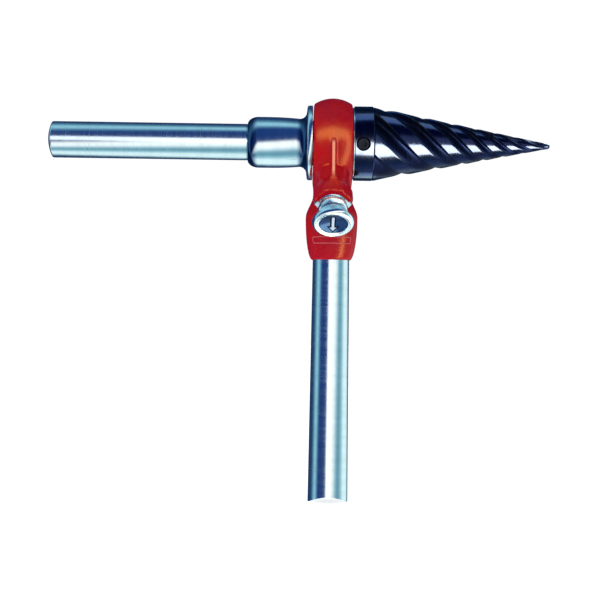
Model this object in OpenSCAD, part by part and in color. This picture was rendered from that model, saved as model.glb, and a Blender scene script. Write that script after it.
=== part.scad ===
// Ratcheting spiral pipe reamer, a hand deburring tool for pipe up to 2 in nominal.
// The reaming axis is X, with the cone's tip towards +X. The ratchet handle hangs along -Z.
// The origin is on the reaming axis, in the plane where the collar meets the fluted cone.

/* [Cone] */
// Largest diameter of the fluted cone and of its collar
cone_d = 55; // [50:0.5:60]
// Length of the fluted cone
cone_length = 132; // [120:1:140]
// Fall of the cone's radius per millimetre of length
cone_slope = 0.196; // [0.17:0.001:0.2]
// Number of flutes
flute_count = 5; // [4:1:6]
// Helix angle of the lands
helix_angle = 46; // [35:1:50]
// Share of each pitch that is land
land_share = 0.43; // [0.35:0.01:0.55]
// Depth of a flute as a share of the cone's radius
flute_depth = 0.22; // [0.15:0.01:0.28]
// Length of the plain collar behind the cone
collar_length = 14; // [13:0.5:18]

/* [Ratchet head] */
// Width of the head along the reaming axis
head_width = 29.4; // [28:0.1:32]
// Radius of the head's crown at mid width
crown_r = 33; // [32:0.5:36]
// Radius of the head at its two faces
face_r = 28.3; // [28:0.1:29]
// Angle of the pawl below the horizontal
pawl_angle = 55; // [50:1:58]
// Number of notches in the ratchet wheel
notch_count = 12; // [8:1:14]
// Largest diameter of the handle socket
socket_d = 39.2; // [38:0.2:42]

/* [Ratchet handle] */
// Outside diameter of the handle in its socket
handle_d = 27.2; // [26:0.1:28]
// Outside diameter of the handle at its free end
handle_end_d = 29.8; // [27:0.1:31]
// Distance from the reaming axis to the handle's free end
handle_reach = 266.5; // [220:0.5:450]
// Inside diameter of the handle tube
handle_bore_d = 22; // [18:0.5:23]
// Depth of the saddle cut in the free end
saddle_depth = 5; // [2:0.5:8]

/* [Feed handle] */
// Outside diameter of the feed tube
feed_d = 27; // [25:0.5:27]
// Inside diameter of the feed tube
feed_bore_d = 22; // [18:0.5:23]
// Length of the feed tube outside its hub
feed_length = 148; // [100:1:200]
// Outside diameter of the hub
hub_d = 37.6; // [36:0.2:40]
// Length of the hub with its flange
hub_length = 48.3; // [46:0.1:52]

/* [Pawl knob] */
// Diameter of the knob over its rim
knob_d = 30; // [28:0.1:30.6]
// Height of the knob
knob_h = 11.6; // [11:0.2:12.4]
// Pull that lifts the pawl out of the wheel
pawl_lift = 5; // [4.5:0.1:5]

/* [Hidden] */

$fn = 96;
run_gap = 0.05;   // radial clearance of every running fit
eps = 0.01;       // overlap that keeps cuts clean

// Stations along the reaming axis
washer_t = 1;
head_front = -collar_length - washer_t;
head_rear = head_front - head_width;
head_x = (head_front + head_rear) / 2;

// Gear pocket in the head
front_wall = 3.5;
gear_r = 22.4;
pocket_r = gear_r + run_gap + 0.05;
pocket_front = head_front - front_wall;
gear_front = pocket_front - 0.3;
gear_width = 19.6;
gear_rear = gear_front - gear_width;
circlip_t = 1.3;
circlip_rear = gear_rear - 0.2 - circlip_t;
circlip_r = 24;
notch_w = 6.4;
notch_depth = 4.5;
notch_floor_r = gear_r - notch_depth;

// Spindle
nose_r = 9;
nose_length = 24;
shank_r = 14;
journal_r = 9;
shoulder_r = 14.9;
nose_collar_r = 11;
thread_r = 7;
spindle_gear_r = 11;

// Feed hub, from its flange backwards
hub_front = head_rear - 0.3;
flange_t = 4.1;
flange_r = cone_d / 2 + 0.1;
hub_rear = hub_front - hub_length;
bush_r = 11.5;
bush_length = 22;
bush_rear = hub_front - bush_length;
tube_seat = hub_rear + 13;
nut_face = bush_rear - 1.7;
nut_h = 8;
spindle_rear = nut_face - nut_h - 1.5;

// Feed tube and its cap
feed_end = hub_rear - feed_length;
cap_rim = 1.2;
cap_crown = 3.2;
cap_spigot = 10;
tail_r = feed_d / 2 - 0.4;    // threaded tail of the tube, inside the hub
tail_gap = 0.4;

// Handle socket, measured along -Z from the reaming axis
socket_top = 38;
socket_mid = 56;
socket_bottom = 87.3;
socket_bore_top = 46;
neck_r = head_width / 2 - 0.6;

// Pawl stack, measured along the pawl axis from the reaming axis
tip_r = 3;
tip_s = notch_floor_r + 0.45;
pawl_r = 6;
pawl_body_s = 23.5;
stop_s = 36;
pawl_flange_r = 8;
pawl_flange_t = 2.5;
pawl_washer_t = 1.2;
chamber_r = 8.6;
bonnet_skirt_r = 10.5;
bonnet_skirt_s = stop_s + pawl_flange_t + pawl_washer_t + pawl_lift + 2.2;
boss_s = 54.8;
boss_r = 13.8;
hood_low = 4;
hood_h = 6.3;
hood_edge_h = 3.3;
bonnet_pocket_r = 11.5;
bonnet_washer_t = 0.8;
flange_s = boss_s + bonnet_washer_t;
flange_h = 3.7;
bonnet_flange_r = 11.2;
ear_af = 23;
ear_half = 3.2;
bonnet_r = 10.6;
bonnet_bulge = 0.6;
bonnet_top_s = 65.4;
spring_seat_s = 58;
stem_r = 4;
stem_fit = 0.1;
knob_s = 66.4;
knob_top_s = knob_s + knob_h;
knob_neck_r = 10.3;
knob_roll = 2.6;
dish_s = knob_top_s - 0.6;
dish_floor_s = knob_top_s - 3.2;
arrow_h = 2.2;
stem_end_s = knob_top_s - 5.2;
knob_pin_r = 1.25;
knob_pin_s = knob_s + 2.6;
wire_r = 0.65;
spring_turns = 6;
spring_start_s = stop_s + pawl_flange_t + pawl_washer_t + wire_r;
spring_end_s = spring_seat_s - wire_r;

// Set screws of the collar
set_screw_r = 5;
set_screw_x = -collar_length / 2 - 1;
set_screw_turn = 8;
set_screw_sink = 1;
flat_r = 8;
set_screw_af = 5;

// Lock screw of the handle
lock_r = 3;
lock_z = -66;

// Key between the spindle and the ratchet wheel
key_w = 6;
key_low = spindle_gear_r - 3.5;
key_high = spindle_gear_r + 2.8;

// ---------------------------------------------------------------- helpers

// A cylinder about the reaming axis, from x = a to x = b
module rod_x(a, b, r) {
    translate([min(a, b), 0, 0])
        rotate([0, 90, 0])
            cylinder(h = abs(b - a), r = r);
}

// A ring about the reaming axis
module ring_x(a, b, r_out, r_in) {
    difference() {
        rod_x(a, b, r_out);
        rod_x(min(a, b) - 1, max(a, b) + 1, r_in);
    }
}

// Turns a profile drawn as [x, radius] about the reaming axis
module turned_x() {
    rotate([0, 90, 0])
        rotate_extrude()
            rotate(90)
                mirror([0, 1])
                    children();
}

// Children drawn about +Z are placed on the pawl axis, which leaves the reaming axis at z = 0
module on_pawl_axis() {
    translate([head_x, 0, 0])
        rotate([90 + pawl_angle, 0, 0])
            children();
}

// A stepped length of the pawl stack
module stage(from, to, r, sides = $fn) {
    translate([0, 0, from])
        cylinder(h = to - from, r = r, $fn = sides);
}

// Places children on each of the collar's three screw axes, pointing outwards along +Z
module at_set_screws() {
    for (turn = [0:120:240])
        translate([set_screw_x, 0, 0])
            rotate([90 + set_screw_turn + turn, 0, 0])
                children();
}

function hex_r(across_flats) = across_flats / 2 / cos(30);

// Triangles that join each ring of points to the next, for rings of equal count
function skin(spans, sides) = [for (i = [0:spans - 1], k = [0:sides - 1])
    let (a = i * sides + k, b = i * sides + (k + 1) % sides)
        each [[a, b, b + sides], [a, b + sides, a + sides]]];

// ---------------------------------------------------------------- ratchet head

// Crowned ring of the head: the arc through both faces and the crown
module head_ring() {
    half = head_width / 2;
    rise = crown_r - face_r;
    arc_r = (half * half + rise * rise) / (2 * rise);
    translate([head_x, 0, 0])
        turned_x()
            intersection() {
                translate([0, crown_r - arc_r])
                    circle(r = arc_r);
                translate([-half, 0])
                    square([head_width, crown_r + 1]);
            }
}

// Barrel that holds the handle: a quarter ellipse below its widest station, and above it an
// S-curve that runs up into the neck under the ring
module handle_socket() {
    r_max = socket_d / 2;
    r_low = handle_d / 2 + 0.4;
    translate([head_x, 0, 0])
        rotate_extrude()
            polygon(concat(
                [[0, -20], [0, -socket_bottom]],
                [for (a = [90:-7.5:0]) [r_low + (r_max - r_low) * cos(a),
                    -socket_mid - (socket_bottom - socket_mid) * sin(a)]],
                [for (t = [0.1:0.1:1]) [neck_r + (r_max - neck_r) * (1 + cos(180 * t)) / 2,
                    -socket_mid + (socket_mid - socket_top) * t]],
                [[neck_r, -20]]));
}

// Boss that carries the pawl, with a thickened mouth and a hood over the bonnet's upper side
module pawl_boss() {
    on_pawl_axis() {
        stage(14, boss_s, boss_r - 1.8);
        stage(boss_s - 7, boss_s, boss_r);
        intersection() {
            stage(boss_s - 1, boss_s + hood_h, boss_r);
            rotate([90, 0, 90])
                linear_extrude(height = 3 * boss_r, center = true)
                    polygon([[hood_low, boss_s - 1], [hood_low, boss_s + hood_h],
                             [boss_r, boss_s + hood_edge_h], [boss_r, boss_s - 1]]);
        }
    }
}

// Webs in the plane of the pawl: a rib down the front of the ring, and a fillet under the boss
module head_webs() {
    rib_w = 5;
    web_w = 18;
    front = [-cos(pawl_angle), -sin(pawl_angle)];
    up = [-sin(pawl_angle), cos(pawl_angle)];
    mouth_top = (boss_s + hood_edge_h - 0.6) * front + (boss_r - 0.6) * up;
    mouth_low = (boss_s - 3) * front - (boss_r - 2) * up;
    translate([head_x, 0, 0])
        rotate([90, 0, 90]) {
            linear_extrude(height = rib_w, center = true)
                polygon([[-24, -4], [-crown_r + 0.6, 4], [-crown_r + 0.2, 0],
                         mouth_top, boss_s * 0.75 * front]);
            linear_extrude(height = web_w, center = true)
                polygon([30 * front, mouth_low, [-10, -58], [-10, -30]]);
        }
}

module ratchet_head() color("firebrick") difference() {
    union() {
        head_ring();
        handle_socket();
        pawl_boss();
        head_webs();
    }
    rod_x(head_rear - 1, pocket_front, pocket_r);
    rod_x(circlip_rear - 0.05, circlip_rear + circlip_t + 0.05, circlip_r + 0.1);
    rod_x(pocket_front - 1, head_front + 1, shoulder_r + run_gap);
    translate([head_x, 0, -socket_bottom - 1])
        cylinder(h = socket_bottom + 1 - socket_bore_top, r = handle_d / 2);
    on_pawl_axis() {
        stage(pocket_r - 4, stop_s + eps, pawl_r + run_gap);
        stage(stop_s, boss_s, chamber_r);
        stage(bonnet_skirt_s - 0.3, boss_s + 1, bonnet_skirt_r);
        stage(boss_s, boss_s + 8, bonnet_pocket_r);
    }
    translate([head_x, 0, lock_z])
        rotate([-90, 0, 0])
            cylinder(h = socket_d, r = lock_r);
}

// Internal retaining ring that keeps the ratchet wheel in the head. It is split at the top,
// with a drilled lug on each side of the gap.
module gear_circlip() color("dimgray") {
    lug_turn = 16;
    lug_r = 19.6;
    difference() {
        union() {
            ring_x(circlip_rear, circlip_rear + circlip_t, circlip_r, gear_r - 1.4);
            for (turn = [-lug_turn, lug_turn])
                rotate([turn, 0, 0])
                    translate([circlip_rear, 0, lug_r])
                        rotate([0, 90, 0])
                            cylinder(h = circlip_t, r = 2.2);
        }
        for (turn = [-lug_turn, lug_turn])
            rotate([turn, 0, 0])
                translate([circlip_rear - 1, 0, lug_r])
                    rotate([0, 90, 0])
                        cylinder(h = circlip_t + 2, r = 1);
        translate([circlip_rear - 1, -3.2, lug_r - 3])
            cube([circlip_t + 2, 6.4, 8]);
    }
}

// ---------------------------------------------------------------- ratchet handle

module ratchet_handle() color("lightsteelblue") {
    seat_top = -socket_bore_top - 0.5;
    end_r = handle_end_d / 2;
    saddle_r = (end_r * end_r + saddle_depth * saddle_depth) / (2 * saddle_depth);
    translate([head_x, 0, 0]) difference() {
        union() {
            translate([0, 0, -socket_bottom])
                cylinder(h = socket_bottom + seat_top, r = handle_d / 2);
            translate([0, 0, -handle_reach])
                cylinder(h = handle_reach - socket_bottom, r1 = end_r, r2 = handle_d / 2);
        }
        translate([0, 0, -handle_reach - 1])
            cylinder(h = handle_reach, r = handle_bore_d / 2);
        translate([0, 0, -handle_reach + saddle_depth - saddle_r])
            rotate([90, 0, 0])
                cylinder(h = 2 * handle_end_d, r = saddle_r, center = true);
        translate([0, 0, lock_z])
            rotate([-90, 0, 0])
                cylinder(h = handle_d, r = lock_r - 0.5);
    }
}

// Socket set screw at the back of the head, with a dog point in the handle's wall
module handle_set_screw() color("dimgray") {
    head_y = socket_d / 2 - 0.8;
    seat_y = handle_d / 2;
    translate([head_x, 0, lock_z]) rotate([-90, 0, 0]) difference() {
        union() {
            translate([0, 0, seat_y + 0.1])
                cylinder(h = head_y - seat_y - 0.1, r = lock_r);
            translate([0, 0, seat_y - 2])
                cylinder(h = 3, r = lock_r - 0.6);
        }
        translate([0, 0, head_y - 2.5])
            cylinder(h = 3, r = hex_r(3), $fn = 6);
    }
}

// ---------------------------------------------------------------- pawl

// Bonnet pressed into the boss to hold the spring down: a flange with an ear at each side, which
// the hood keeps from turning, and a slightly barrelled collar
module pawl_bonnet() color("gainsboro") on_pawl_axis() difference() {
    barrel_s = (flange_s + flange_h + bonnet_top_s) / 2;
    barrel_half = barrel_s - flange_s - flange_h;
    union() {
        stage(bonnet_skirt_s, flange_s + 1, bonnet_skirt_r);
        stage(flange_s, flange_s + flange_h, bonnet_flange_r);
        intersection() {
            stage(flange_s, flange_s + flange_h, hex_r(ear_af), 6);
            translate([-ear_af, -ear_half, flange_s])
                cube([2 * ear_af, 2 * ear_half, flange_h]);
        }
        rotate_extrude()
            polygon(concat(
                [[0, flange_s + 1], [bonnet_r - bonnet_bulge, flange_s + 1]],
                [for (t = [-1:0.25:0.75]) [bonnet_r - bonnet_bulge * t * t, barrel_s + barrel_half * t]],
                [[bonnet_r - 2 * bonnet_bulge, bonnet_top_s], [0, bonnet_top_s]]));
    }
    stage(bonnet_skirt_s - 1, spring_seat_s, chamber_r - 0.2);
    stage(spring_seat_s - 1, bonnet_top_s + 1, stem_r + stem_fit);
}

module bonnet_washer() color("silver") on_pawl_axis() difference() {
    stage(boss_s, flange_s, bonnet_pocket_r - 0.6);
    stage(boss_s - 1, flange_s + 1, bonnet_skirt_r);
}

// Coil of round wire round the pawl's stem
module pawl_spring() color("gray") {
    coil_r = 6.6;
    sides = 8;
    per_turn = 14;
    rings = spring_turns * per_turn;
    pitch = (spring_end_s - spring_start_s) / spring_turns;
    points = [for (i = [0:rings], k = [0:sides - 1])
        let (turn = 360 * i / per_turn, side = 360 * k / sides,
             r = coil_r + wire_r * cos(side))
            [r * cos(turn), r * sin(turn),
             spring_start_s + pitch * i / per_turn + wire_r * sin(side)]];
    on_pawl_axis()
        polyhedron(
            points = points,
            faces = concat(
                [[for (k = [sides - 1:-1:0]) k]],
                skin(rings, sides),
                [[for (k = [0:sides - 1]) rings * sides + k]]),
            convexity = 10);
}

// Washer between the spring and the pawl, so that the pawl turns without winding the spring
module pawl_washer() color("silver") on_pawl_axis() difference() {
    base = stop_s + pawl_flange_t;
    stage(base, base + pawl_washer_t, pawl_flange_r);
    stage(base - 1, base + pawl_washer_t + 1, stem_r + stem_fit);
}

// Pawl bolt: bevelled tip, guided body, flange and stem in one piece
module pawl() color("slategray") on_pawl_axis() difference() {
    union() {
        stage(tip_s, pawl_body_s + 1, tip_r);
        stage(pawl_body_s, stop_s + 1, pawl_r);
        stage(stop_s, stop_s + pawl_flange_t, pawl_flange_r);
        stage(stop_s + 1, stem_end_s, stem_r);
    }
    translate([0, 0.6, tip_s])
        rotate([45, 0, 0])
            translate([-10, 0, -12])
                cube([20, 12, 12]);
    knob_pin_bar(40);
}

// Bar across the pawl axis, for the knob's cross pin and its hole
module knob_pin_bar(length) {
    translate([0, 0, knob_pin_s])
        rotate([0, 90, 0])
            cylinder(h = length, r = knob_pin_r, center = true);
}

// Arrow that shows which way the tool drives, drawn pointing to -Y
module arrow_outline() {
    shaft = 2.1;
    barb = 4.4;
    neck = -4;
    tail = 6.2;
    tip = -9.6;
    polygon([[-shaft, tail], [shaft, tail], [shaft, neck], [barb, neck], [0, tip],
             [-barb, neck], [-shaft, neck]]);
}

// Knob: a neck that flares out under a rolled rim, and a dished face with a raised arrow
module pawl_knob() color("gainsboro") on_pawl_axis() {
    rim_r = knob_d / 2;
    rim_s = knob_top_s - knob_roll;
    flare_s = rim_s - 0.8;
    flare_h = 3.6;
    dish_r = knob_neck_r;
    dish_rise = dish_s - 0.4 - dish_floor_s;
    difference() {
        rotate_extrude()
            polygon(concat(
                [[0, knob_s], [knob_neck_r - 0.5, knob_s], [knob_neck_r, knob_s + 0.5]],
                [for (a = [0:15:90]) [rim_r - (rim_r - knob_neck_r) * cos(a),
                    flare_s - flare_h * (1 - sin(a))]],
                [for (a = [0:15:90]) [rim_r - knob_roll * (1 - cos(a)), rim_s + knob_roll * sin(a)]],
                [[dish_r, dish_s]],
                [for (t = [0.96:-0.16:0]) [t * dish_r, dish_floor_s + dish_rise * pow(t, 1.3)]]));
        stage(knob_s - 1, stem_end_s, stem_r);
        knob_pin_bar(2 * knob_d);
    }
    translate([0, 0, dish_floor_s - 0.5])
        linear_extrude(height = arrow_h + 0.5)
            arrow_outline();
}

module knob_pin() color("dimgray") on_pawl_axis()
    knob_pin_bar(2 * knob_neck_r - 1);

// ---------------------------------------------------------------- reamer

// Radius of the cone at a station
function cone_r(x) = max(cone_d / 2 - cone_slope * x, 1.2);

// Turn of the lands in degrees from the collar to a station: a constant helix angle down to
// lead_r, and a constant lead beyond it
lead_r = 12;
lead_x = (cone_d / 2 - lead_r) / cone_slope;
lead_turn = tan(helix_angle) / cone_slope * ln(cone_d / 2 / lead_r) * 180 / PI;
function land_turn(x) = x < lead_x
    ? tan(helix_angle) / cone_slope * ln(cone_d / 2 / cone_r(x)) * 180 / PI
    : lead_turn + (x - lead_x) * tan(helix_angle) / lead_r * 180 / PI;

// Outline of one land and its flute, as a share of the cone's radius. It has a sharp cutting
// edge at share 0, a relieved land, a flute that falls gently and a steep face to the next edge.
flute_start = 22.2;
flute_low = 0.72;
function fall(v) = v < flute_low
    ? pow(sin(90 * v / flute_low), 1.3)
    : 1 - pow((v - flute_low) / (1 - flute_low), 2.2);
function outline_share(u) = u < land_share
    ? 1 - 0.02 * u / land_share
    : 1 - 0.02 * (1 - u) - flute_depth * fall((u - land_share) / (1 - land_share));

cone_stations = 56;
outline_shares = [0, land_share / 2, land_share, land_share + 0.12, land_share + 0.25,
                  land_share + 0.38, land_share + 0.47, 0.955];
outline_points = len(outline_shares) * flute_count;
tip_round = 2.4;

function section(x, r) = [for (k = [0:outline_points - 1])
    let (j = k % len(outline_shares),
         u = outline_shares[j],
         turn = (floor(k / len(outline_shares)) + u) * 360 / flute_count
                - land_turn(x) - flute_start,
         rho = r * outline_share(u))
        [x, -rho * cos(turn), rho * sin(turn)]];

// Stations lie closer together towards the tip, where the lands turn faster
module fluted_cone() {
    body_end = cone_length - tip_round;
    xs = [for (i = [0:cone_stations])
        let (t = i / cone_stations) body_end * (1.25 * t - 0.25 * t * t)];
    rings = concat(
        [for (x = xs) section(x, cone_r(x))],
        [for (a = [30:30:60]) section(body_end + tip_round * sin(a), cone_r(body_end) * cos(a))]);
    last = len(rings) - 1;
    apex = (last + 1) * outline_points;
    polyhedron(
        points = concat([for (ring = rings) each ring], [[cone_length, 0, 0]]),
        faces = concat(
            [[for (k = [outline_points - 1:-1:0]) k]],
            skin(last, outline_points),
            [for (k = [0:outline_points - 1])
                [last * outline_points + k,
                 last * outline_points + (k + 1) % outline_points,
                 apex]]),
        convexity = 10);
}

module reamer_cone() color("midnightblue") difference() {
    union() {
        fluted_cone();
        rod_x(-collar_length, 1, shank_r);
    }
    rod_x(-collar_length - 1, nose_length, nose_r);
    at_set_screws()
        cylinder(h = shank_r + 2, r = set_screw_r);
}

// The ring is turned a little about its axis, to keep its seam away from the screw holes
module cone_collar() color("midnightblue") difference() {
    rotate([set_screw_turn - 15, 0, 0])
        ring_x(-collar_length, 0, cone_d / 2, shank_r);
    at_set_screws()
        cylinder(h = cone_d, r = set_screw_r);
}

// Three socket set screws at 120 degrees, bearing on flats of the spindle's nose
module cone_set_screws() color("black") at_set_screws() difference() {
    top = cone_d / 2 - set_screw_sink;
    union() {
        translate([0, 0, flat_r + 2])
            cylinder(h = top - flat_r - 2, r = set_screw_r);
        translate([0, 0, flat_r])
            cylinder(h = 2 + eps, r1 = set_screw_r - 1.5, r2 = set_screw_r);
    }
    translate([0, 0, top - 4.5])
        cylinder(h = 5, r = hex_r(set_screw_af), $fn = 6);
}

module front_washer() color("silver")
    ring_x(head_front + 0.1, -collar_length, cone_d / 2 - 1, nose_r);

// Spindle: nose for the cone, shoulder in the head's front wall, gear seat, journal and thread
module spindle() color("lightslategray") difference() {
    union() {
        rod_x(head_front, nose_length - 0.5, nose_r);
        rod_x(gear_front + eps, head_front + 0.1, shoulder_r);
        rod_x(gear_rear, gear_front + 0.1, spindle_gear_r);
        rod_x(nut_face, gear_rear + 0.1, journal_r);
        rod_x(spindle_rear, nut_face + 0.1, thread_r);
    }
    at_set_screws()
        translate([-set_screw_r - 0.2, -10, flat_r])
            cube([2 * set_screw_r + 0.4, 20, 5]);
    translate([gear_rear - 1, -key_w / 2, key_low])
        cube([gear_width + 1, key_w, 10]);
}

// Ratchet wheel: a square notch faces the pawl at rest
module ratchet_gear() color("slategray") difference() {
    ring_x(gear_rear, gear_front, gear_r, spindle_gear_r);
    for (i = [0:notch_count - 1])
        translate([head_x, 0, 0])
            rotate([90 + pawl_angle + i * 360 / notch_count, 0, 0])
                translate([-gear_width, -notch_w / 2, notch_floor_r])
                    cube([2 * gear_width, notch_w, 2 * notch_depth]);
    translate([gear_rear - 1, -key_w / 2, 0])
        cube([gear_width + 2, key_w, key_high]);
}

module gear_key() color("silver")
    translate([gear_rear + 0.5, -key_w / 2, key_low])
        cube([gear_width - 1, key_w, key_high - key_low - 0.1]);

module nut_washer() color("silver")
    ring_x(nut_face, nut_face + 1.5, 12.5, journal_r);

module spindle_nut() color("silver") difference() {
    translate([nut_face - nut_h, 0, 0])
        rotate([0, 90, 0])
            cylinder(h = nut_h, r = hex_r(21), $fn = 6);
    rod_x(nut_face - nut_h - 1, nut_face + 1, thread_r);
}

// ---------------------------------------------------------------- feed handle

// Bronze spacer that carries the push of the feed handle to the ratchet wheel
module rear_thrust_washer() color("peru")
    ring_x(hub_front + 0.1, gear_rear, 16.5, journal_r);

module feed_bush() color("peru")
    ring_x(bush_rear, hub_front, bush_r, journal_r + run_gap);

// Hub: flange against the head, body with a rounded shoulder, and a socket for the tube
module feed_hub() color("lightsteelblue") difference() {
    turned_x() {
        r = hub_d / 2;
        neck = r - 1;
        round_r = 6;
        polygon(concat(
            [[hub_front, 0], [hub_front, flange_r], [hub_front - flange_t + 1.4, flange_r],
             [hub_front - flange_t + 0.2, flange_r - 1.4], [hub_front - flange_t - 0.4, neck + 5],
             [hub_front - flange_t - 1.2, neck + 2.2], [hub_front - flange_t - 3.4, neck + 0.6],
             [hub_front - flange_t - 7, neck], [hub_rear + 16, r], [hub_rear + round_r, r]],
            [for (a = [15:15:90]) [hub_rear + round_r * (1 - sin(a)), r - round_r * (1 - cos(a))]],
            [[hub_rear, 0]]));
    }
    rod_x(hub_rear - 1, bush_rear, tail_r);
    rod_x(bush_rear - 1, hub_front + 1, bush_r);
}

// Tube with its grip at full diameter and a turned-down tail in the hub
module feed_tube() color("lightsteelblue") difference() {
    union() {
        rod_x(feed_end + cap_rim + cap_crown, hub_rear - tail_gap, feed_d / 2);
        rod_x(hub_rear - 1, tube_seat, tail_r);
    }
    rod_x(feed_end, tube_seat + 1, feed_bore_d / 2);
}

// Crowned plug that closes the tube where the palm pushes
module feed_end_cap() color("lightsteelblue") {
    rim_x = feed_end + cap_crown;
    rod_x(rim_x + cap_rim - eps, rim_x + cap_rim + cap_spigot, feed_bore_d / 2);
    turned_x() {
        r = feed_d / 2;
        crown_arc = (r * r + cap_crown * cap_crown) / (2 * cap_crown);
        polygon(concat(
            [[rim_x + cap_rim, 0], [rim_x + cap_rim, r], [rim_x + 0.5, r], [rim_x + 0.1, r - 0.5]],
            [for (i = [1:8])
                let (y = (r - 0.5) * (1 - i / 8))
                    [feed_end + crown_arc - sqrt(crown_arc * crown_arc - y * y), y]]));
    }
}

ratchet_head();
ratchet_handle();
handle_set_screw();
gear_circlip();
pawl_bonnet();
bonnet_washer();
pawl_spring();
pawl_washer();
pawl();
pawl_knob();
knob_pin();
reamer_cone();
cone_collar();
cone_set_screws();
front_washer();
spindle();
ratchet_gear();
gear_key();
nut_washer();
spindle_nut();
rear_thrust_washer();
feed_bush();
feed_hub();
feed_tube();
feed_end_cap();
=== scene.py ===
import math

import bmesh
import bpy
import numpy as np
from mathutils import Matrix, Vector


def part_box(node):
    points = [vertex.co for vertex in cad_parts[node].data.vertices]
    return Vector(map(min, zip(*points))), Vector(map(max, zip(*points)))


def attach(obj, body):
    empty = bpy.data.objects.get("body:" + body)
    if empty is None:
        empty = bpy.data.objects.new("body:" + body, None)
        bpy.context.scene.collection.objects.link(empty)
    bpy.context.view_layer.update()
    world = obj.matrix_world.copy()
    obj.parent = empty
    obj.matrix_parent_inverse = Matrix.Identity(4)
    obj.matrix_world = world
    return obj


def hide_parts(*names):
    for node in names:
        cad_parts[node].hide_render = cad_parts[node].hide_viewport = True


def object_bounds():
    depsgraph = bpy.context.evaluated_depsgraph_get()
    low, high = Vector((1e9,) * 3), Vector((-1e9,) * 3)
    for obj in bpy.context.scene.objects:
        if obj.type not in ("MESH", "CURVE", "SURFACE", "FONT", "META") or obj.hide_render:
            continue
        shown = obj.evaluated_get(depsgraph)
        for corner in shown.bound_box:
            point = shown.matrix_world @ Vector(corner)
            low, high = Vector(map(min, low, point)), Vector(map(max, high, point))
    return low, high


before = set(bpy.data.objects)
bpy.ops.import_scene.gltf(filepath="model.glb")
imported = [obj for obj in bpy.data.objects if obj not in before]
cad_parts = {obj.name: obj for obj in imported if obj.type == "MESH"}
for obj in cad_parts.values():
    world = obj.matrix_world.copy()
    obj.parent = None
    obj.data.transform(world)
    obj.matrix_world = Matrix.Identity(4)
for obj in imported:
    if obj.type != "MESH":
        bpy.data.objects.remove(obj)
cad_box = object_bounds()

# A ratcheting spiral pipe reamer. The reaming axis is X, with the cone's tip towards +X, and the
# ratchet handle hangs along -Z. Sizes below are in millimetres unless a name ends in _m.
MM = 0.001


# ------------------------------------------------------------------ stations taken from the frame

def span(node, axis):
    """Lowest and highest coordinate of a CAD node along an axis, in millimetres."""
    low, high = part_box(node)
    return low[axis] / MM, high[axis] / MM


X, Y, Z = 0, 1, 2
collar_rear, collar_front = span("cone_collar", X)
collar_r = span("cone_collar", Z)[1]
cone_tip = span("reamer_cone", X)[1]
socket_left, socket_right = span("ratchet_head", X)
head_x = (socket_left + socket_right) / 2
socket_r = (socket_right - socket_left) / 2
crown_r = span("ratchet_head", Z)[1]
socket_bottom = -span("ratchet_head", Z)[0]
hub_rear, hub_front = span("feed_hub", X)
flange_r = span("feed_hub", Z)[1]
tube_rear, tube_front = span("feed_tube", X)
tube_r = span("feed_tube", Z)[1]
cap_end, cap_seat = span("feed_end_cap", X)
handle_end, handle_top = span("ratchet_handle", Z)
handle_end_r = (span("ratchet_handle", X)[1] - span("ratchet_handle", X)[0]) / 2
washer_rear, washer_front = span("front_washer", X)
washer_r = span("front_washer", Z)[1]

# The pawl stack leaves the reaming axis below the horizontal, towards the front
PAWL_ANGLE = math.radians(55)
PAWL_AXIS = Vector((0, -math.cos(PAWL_ANGLE), -math.sin(PAWL_ANGLE)))
PAWL_UP = Vector((0, -math.sin(PAWL_ANGLE), math.cos(PAWL_ANGLE)))

ALONG_X = Matrix.Rotation(math.radians(90), 4, "Y")
DOWN_Z = Matrix.Translation((head_x * MM, 0, 0)) @ Matrix.Rotation(math.radians(180), 4, "X")
ON_PAWL = Matrix.Translation((head_x * MM, 0, 0)) @ Matrix.Rotation(math.radians(90) + PAWL_ANGLE, 4, "X")


# ------------------------------------------------------------------ mesh helpers

def add_mesh(name, points, faces, matrix, sharp_deg=32):
    """A new object from points in millimetres, placed by a matrix and smooth except at sharp edges."""
    mesh = bpy.data.meshes.new(name)
    mesh.from_pydata([tuple(p) for p in np.asarray(points) * MM], [], [tuple(map(int, f)) for f in faces])
    mesh.transform(matrix)
    shape = bmesh.new()
    shape.from_mesh(mesh)
    bmesh.ops.recalc_face_normals(shape, faces=shape.faces)
    shape.to_mesh(mesh)
    shape.free()
    smooth(mesh, sharp_deg)
    piece = bpy.data.objects.new(name, mesh)
    bpy.context.scene.collection.objects.link(piece)
    return piece


def smooth(mesh, sharp_deg):
    mesh.shade_smooth()
    mesh.set_sharp_from_angle(angle=math.radians(sharp_deg))


def rounded(outline, radius, steps=4, closed=True):
    """The outline with each corner replaced by a small arc; points on the axis stay as they are."""
    result = []
    count = len(outline)
    for i, point in enumerate(outline):
        p = Vector(point[:2])
        r = point[2] if len(point) > 2 else radius
        before = Vector(outline[(i - 1) % count][:2])
        after = Vector(outline[(i + 1) % count][:2])
        to_before = before - p
        to_after = after - p
        ends = not closed and i in (0, count - 1)
        if ends or p.y < 1e-6 or r == 0 or to_before.length < 1e-6 or to_after.length < 1e-6:
            result.append(tuple(p))
            continue
        turn = to_before.angle(to_after)
        cut = min(r / math.tan(turn / 2), to_before.length * 0.45, to_after.length * 0.45)
        start = p + to_before.normalized() * cut
        end = p + to_after.normalized() * cut
        for k in range(steps + 1):
            t = k / steps
            bend = start * (1 - t) ** 2 + p * (2 * t * (1 - t)) + end * t ** 2
            result.append(tuple(bend))
    return result


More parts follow.
